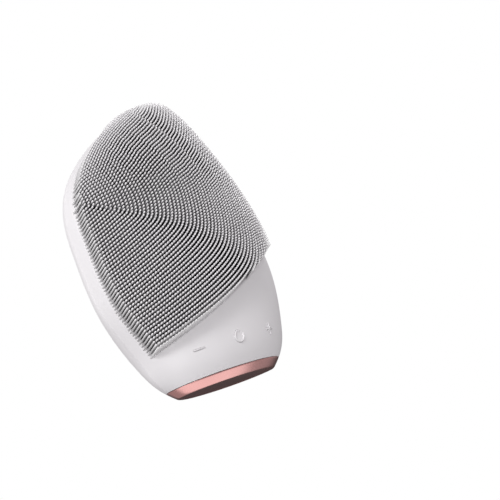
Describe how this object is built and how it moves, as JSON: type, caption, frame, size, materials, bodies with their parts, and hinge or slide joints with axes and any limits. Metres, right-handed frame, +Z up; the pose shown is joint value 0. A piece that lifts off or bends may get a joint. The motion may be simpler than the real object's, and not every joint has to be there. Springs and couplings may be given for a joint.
{
  "type": "facial cleansing brush",
  "caption": "Leaf-shaped silicone facial cleansing brush with a bristle field, a wave-ridged back, raised touch buttons and a metal-coated end cap.",
  "frame": {"origin": "middle of the end cap's flat face, on the surface that the brush stands on", "axes": "+Z up from the end cap to the tip, -Y towards the bristle side, +Y towards the ridged back, +X to the right when looking at the bristles"},
  "size_m": [0.082, 0.0445, 0.11],
  "materials": {
    "silicone": "soft matte white silicone with a faint satin sheen",
    "rose_gold": "satin rose-gold metal coating",
    "inner_plastic": "plain moulded plastic",
    "dark_plastic": "black moulded plastic",
    "steel": "bright steel",
    "contact_metal": "dark polished plating",
    "brass": "machined",
    "rubber": "matte",
    "board_green": "solder-mask gloss",
    "battery_foil": "laminated foil pouch",
    "foam": "closed-cell foam",
    "light_window": "clear lens",
    "lead_red": "insulation",
    "lead_black": "insulation"
  },
  "bodies": {
    "root": {"front_skin": "silicone", "bristle_field": "silicone", "back_skin": "silicone", "end_cap": "rose_gold", "cap_retainer": "inner_plastic", "front_housing": "inner_plastic", "back_housing": "inner_plastic", "chassis": "inner_plastic", "motor_cradle": "inner_plastic", "minus_switch": "dark_plastic", "power_switch": "dark_plastic", "plus_switch": "dark_plastic", "controller_chip": "dark_plastic", "charging_chip": "dark_plastic", "motor_can": "steel", "board_screw_1": "steel", "board_screw_2": "steel", "board_screw_3": "steel", "board_screw_4": "steel", "cradle_screw_1": "steel", "cradle_screw_2": "steel", "charging_magnet": "steel", "contact_pin_left": "contact_metal", "contact_pin_right": "contact_metal", "housing_gasket": "rubber", "motor_sleeve": "rubber", "contact_seal_left": "rubber", "contact_seal_right": "rubber", "main_board": "board_green", "battery": "battery_foil", "battery_foam": "foam", "status_light": "light_window", "battery_lead_red": "lead_red", "motor_lead_red": "lead_red", "charging_lead_red": "lead_red", "battery_lead_black": "lead_black", "motor_lead_black": "lead_black", "charging_lead_black": "lead_black"},
    "minus_key": {"minus_button": "silicone", "minus_plunger": "steel"},
    "power_key": {"power_button": "silicone", "power_plunger": "steel"},
    "plus_key": {"plus_button": "silicone", "plus_plunger": "steel"},
    "rotor": {"motor_shaft": "steel", "eccentric_weight": "brass"}
  },
  "joints": [
    {"name": "minus_press", "type": "slide", "parent": "root", "child": "minus_key", "axis": [0, 1, 0], "range_m": [0, 0.0004], "stiffness_N_per_m": 1500},
    {"name": "power_press", "type": "slide", "parent": "root", "child": "power_key", "axis": [0, 1, 0], "range_m": [0, 0.0004], "stiffness_N_per_m": 1500},
    {"name": "plus_press", "type": "slide", "parent": "root", "child": "plus_key", "axis": [0, 1, 0], "range_m": [0, 0.0004], "stiffness_N_per_m": 1500},
    {"name": "motor_spin", "type": "hinge", "parent": "root", "child": "rotor", "pos_m": [0, 0.0035, 0.09], "axis": [0, 0, 1], "continuous": true}
  ]
}
